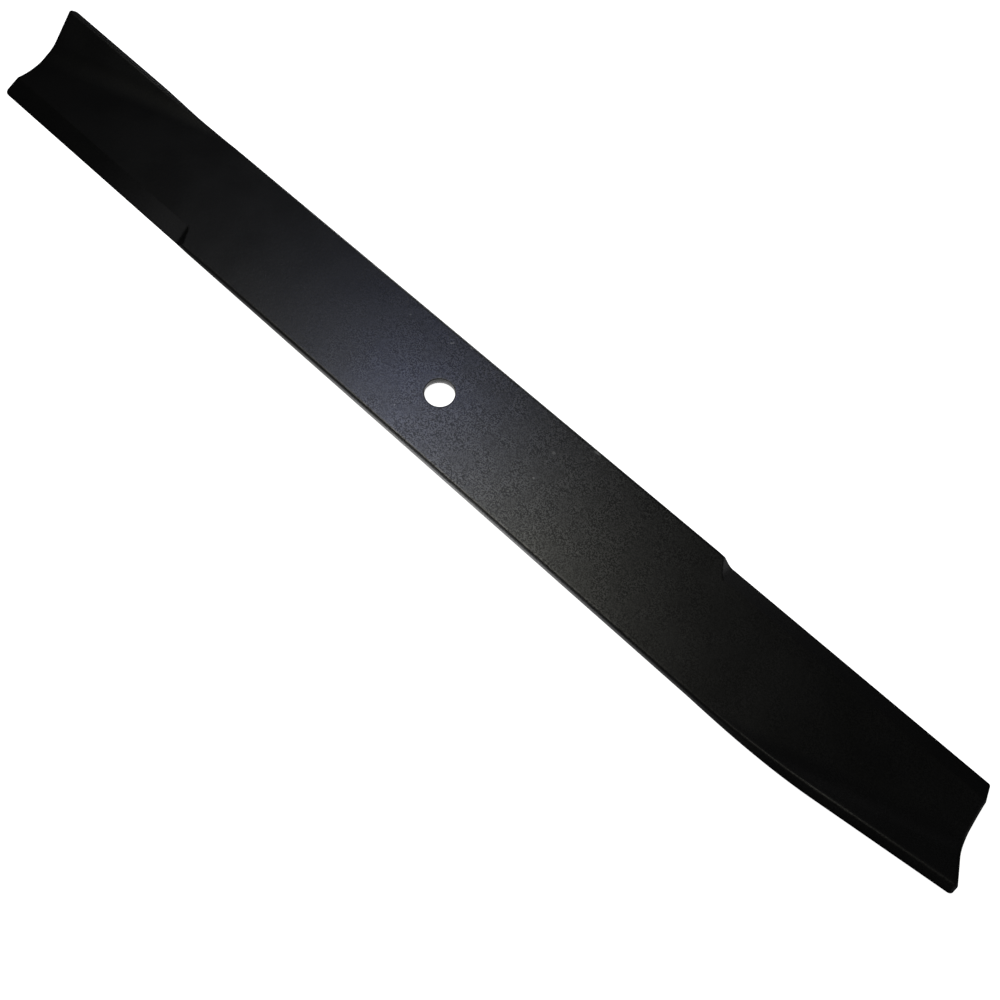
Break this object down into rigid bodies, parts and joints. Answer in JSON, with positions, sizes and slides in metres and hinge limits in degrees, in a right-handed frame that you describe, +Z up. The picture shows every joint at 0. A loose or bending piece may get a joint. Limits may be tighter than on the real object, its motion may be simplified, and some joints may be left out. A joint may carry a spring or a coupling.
{
  "type": "rotary mower blade",
  "caption": "One-piece black steel rotary mower blade: a flat bar with a centre spindle hole, ground cutting edges and folded-up trailing wings.",
  "frame": {"origin": "On the axis of the spindle hole, at the flat underside of the bar.", "axes": "+X along the bar to one tip, +Z up along the spindle axis to the side the wings fold towards, +Y across the bar to the cutting edge of the +X end."},
  "size_m": [0.6344, 0.0656, 0.0249],
  "materials": {
    "black_coat": "satin"
  },
  "bodies": {
    "root": {"blade": "black_coat"}
  },
  "joints": []
}
